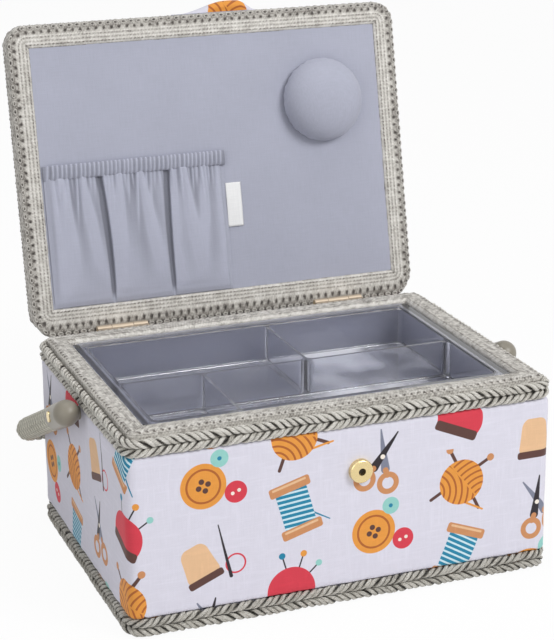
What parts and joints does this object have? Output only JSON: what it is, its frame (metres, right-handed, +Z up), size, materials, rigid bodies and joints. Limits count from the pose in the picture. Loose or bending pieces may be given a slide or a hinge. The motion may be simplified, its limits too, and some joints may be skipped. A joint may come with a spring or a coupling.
{
  "type": "sewing box",
  "caption": "Cloth-covered sewing box with a hinged padded lid, braid and cord trims, swinging wrapped handle, lift-out clear tray, lid pocket, pincushion and snap tab.",
  "frame": {"origin": "centre of the box's underside, on the surface it stands on", "axes": "+Z up, +Y towards the hinges at the back, +X to the right seen from the front"},
  "size_m": [0.2966, 0.2609, 0.3072],
  "materials": {
    "printed_cloth": "plain-woven cotton with a scattered printed pattern",
    "lining_cloth": "plain-woven grey-lilac lining",
    "flat_braid": "woven grey braid with stitch rows",
    "plaited_cord": "grey plaited cord",
    "handle_braid": "grey braided sleeve",
    "fibreboard": "raw fibreboard",
    "foam": "soft wadding",
    "elastic": "white elastic tape",
    "white_tape": "blank white woven tape",
    "clear_plastic": "clear blue-grey moulded plastic",
    "grey_plastic": "warm grey moulded plastic",
    "pale_brass": "pale gold plating",
    "steel": "plain steel"
  },
  "bodies": {
    "box": {"base_cloth": "lining_cloth", "base_board": "fibreboard", "front_board": "fibreboard", "back_board": "fibreboard", "left_board": "fibreboard", "right_board": "fibreboard", "wall_padding": "foam", "outer_cover": "printed_cloth", "wall_lining": "lining_cloth", "floor_lining": "lining_cloth", "left_tray_ledge": "fibreboard", "right_tray_ledge": "fibreboard", "rim_braid": "flat_braid", "rim_cord_upper": "plaited_cord", "rim_cord_lower": "plaited_cord", "base_cord_lower": "plaited_cord", "base_cord_upper": "plaited_cord", "snap_socket": "pale_brass", "snap_socket_washer": "pale_brass", "left_hinge_box_leaf": "pale_brass", "right_hinge_box_leaf": "pale_brass", "left_hinge_pin": "steel", "right_hinge_pin": "steel", "hinge_box_nails": "steel", "left_handle_bush": "grey_plastic", "right_handle_bush": "grey_plastic", "left_handle_rivet": "pale_brass", "right_handle_rivet": "pale_brass", "left_rivet_washer": "pale_brass", "right_rivet_washer": "pale_brass"},
    "lid": {"lid_board": "fibreboard", "lid_padding": "foam", "lid_cover": "printed_cloth", "lid_lining": "lining_cloth", "lid_braid": "flat_braid", "left_hinge_lid_leaf": "pale_brass", "right_hinge_lid_leaf": "pale_brass", "hinge_lid_nails": "steel", "pocket_cloth": "lining_cloth", "pocket_header": "lining_cloth", "pocket_elastic": "elastic", "pocket_label": "white_tape", "pincushion_pad": "lining_cloth", "pincushion_base": "fibreboard", "tab_anchor": "printed_cloth"},
    "tab_root": {"tab_root": "printed_cloth"},
    "tab_tip": {"tab_outer_cloth": "printed_cloth", "tab_inner_cloth": "printed_cloth", "tab_stiffener": "fibreboard", "snap_stud": "pale_brass", "snap_stud_washer": "pale_brass"},
    "handle": {"handle_core": "grey_plastic", "handle_wrap": "handle_braid", "left_end_cap": "grey_plastic", "right_end_cap": "grey_plastic"},
    "tray": {"tray": "clear_plastic"}
  },
  "joints": [
    {"name": "lid_hinge", "type": "hinge", "parent": "box", "child": "lid", "pos_m": [0, 0.098, 0.118], "axis": [-1, 0, 0], "range_deg": [-101.9, 0]},
    {"name": "closure_tab_fold", "type": "hinge", "parent": "lid", "child": "tab_root", "pos_m": [0.008, 0.1588, 0.30467], "axis": [1, 0, 0], "range_deg": [0, 246]},
    {"name": "closure_tip_fold", "type": "hinge", "parent": "tab_root", "child": "tab_tip", "pos_m": [0.008, 0.1588, 0.28468], "axis": [1, 0, 0], "range_deg": [0, 45]},
    {"name": "handle_swing", "type": "hinge", "parent": "box", "child": "handle", "pos_m": [0, 0, 0.1025], "axis": [1, 0, 0], "range_deg": [0, 27]},
    {"name": "tray_lift", "type": "slide", "parent": "box", "child": "tray", "axis": [0, 0, 1], "range_m": [0, 0.12]}
  ]
}
